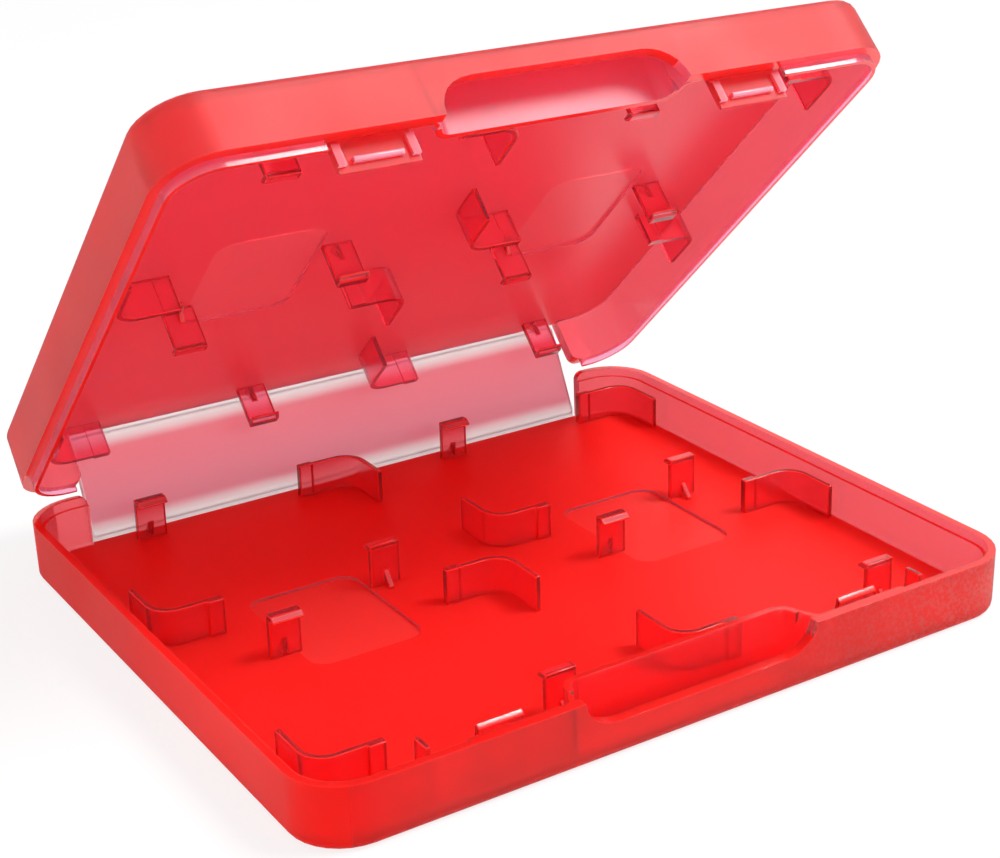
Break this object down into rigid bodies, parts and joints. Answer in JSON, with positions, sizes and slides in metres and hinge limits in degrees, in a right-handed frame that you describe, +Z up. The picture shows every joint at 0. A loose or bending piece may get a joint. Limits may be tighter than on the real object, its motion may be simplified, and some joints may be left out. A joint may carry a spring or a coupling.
{
  "type": "game card case",
  "caption": "Flat translucent red plastic pocket case for small game cards, standing open: lower tray, narrow spine and lid on living hinges.",
  "frame": {"origin": "middle of the lower tray's underside, the face it stands on", "axes": "+X along the spine, +Y from the front edge towards the spine, +Z up; the lid stands open, as in the picture"},
  "size_m": [0.073, 0.0686, 0.0544],
  "materials": {
    "red_polypropylene": "translucent red polypropylene, smooth inside and lightly frosted outside",
    "thin_red_polypropylene": "the same polypropylene, thinner and paler, stress-whitened along the hinge lines"
  },
  "bodies": {
    "lower_tray": {"lower_tray_shell": "red_polypropylene", "lower_hinge_film": "thin_red_polypropylene", "lower_left_catch_tab": "red_polypropylene", "lower_right_catch_tab": "red_polypropylene", "lower_left_stop_rib": "red_polypropylene", "lower_right_stop_rib": "red_polypropylene", "lower_left_front_guide_a": "red_polypropylene", "lower_left_front_guide_b": "red_polypropylene", "lower_left_front_clip_a": "red_polypropylene", "lower_left_front_clip_b": "red_polypropylene", "lower_left_hinge_guide_a": "red_polypropylene", "lower_left_hinge_guide_b": "red_polypropylene", "lower_left_hinge_clip_a": "red_polypropylene", "lower_left_hinge_clip_b": "red_polypropylene", "lower_right_front_guide_a": "red_polypropylene", "lower_right_front_guide_b": "red_polypropylene", "lower_right_front_clip_a": "red_polypropylene", "lower_right_front_clip_b": "red_polypropylene", "lower_right_hinge_guide_a": "red_polypropylene", "lower_right_hinge_guide_b": "red_polypropylene", "lower_right_hinge_clip_a": "red_polypropylene", "lower_right_hinge_clip_b": "red_polypropylene"},
    "spine": {"spine": "thin_red_polypropylene", "upper_hinge_film": "thin_red_polypropylene"},
    "lid": {"lid_shell": "red_polypropylene", "lid_left_latch_tongue": "red_polypropylene", "lid_right_latch_tongue": "red_polypropylene", "lid_left_hinge_guide_a": "red_polypropylene", "lid_left_hinge_guide_b": "red_polypropylene", "lid_left_hinge_clip_a": "red_polypropylene", "lid_left_hinge_clip_b": "red_polypropylene", "lid_left_front_guide_a": "red_polypropylene", "lid_left_front_guide_b": "red_polypropylene", "lid_left_front_clip_a": "red_polypropylene", "lid_left_front_clip_b": "red_polypropylene", "lid_right_hinge_guide_a": "red_polypropylene", "lid_right_hinge_guide_b": "red_polypropylene", "lid_right_hinge_clip_a": "red_polypropylene", "lid_right_hinge_clip_b": "red_polypropylene", "lid_right_front_guide_a": "red_polypropylene", "lid_right_front_guide_b": "red_polypropylene", "lid_right_front_clip_a": "red_polypropylene", "lid_right_front_clip_b": "red_polypropylene"}
  },
  "joints": [
    {"name": "lower_hinge", "type": "hinge", "parent": "lower_tray", "child": "spine", "pos_m": [0, 0.0317, 0.0003], "axis": [1, 0, 0], "range_deg": [-65.2, 24.8]},
    {"name": "upper_hinge", "type": "hinge", "parent": "spine", "child": "lid", "pos_m": [0, 0.03644, 0.01056], "axis": [1, 0, 0], "range_deg": [-71.1, 18.9]}
  ]
}
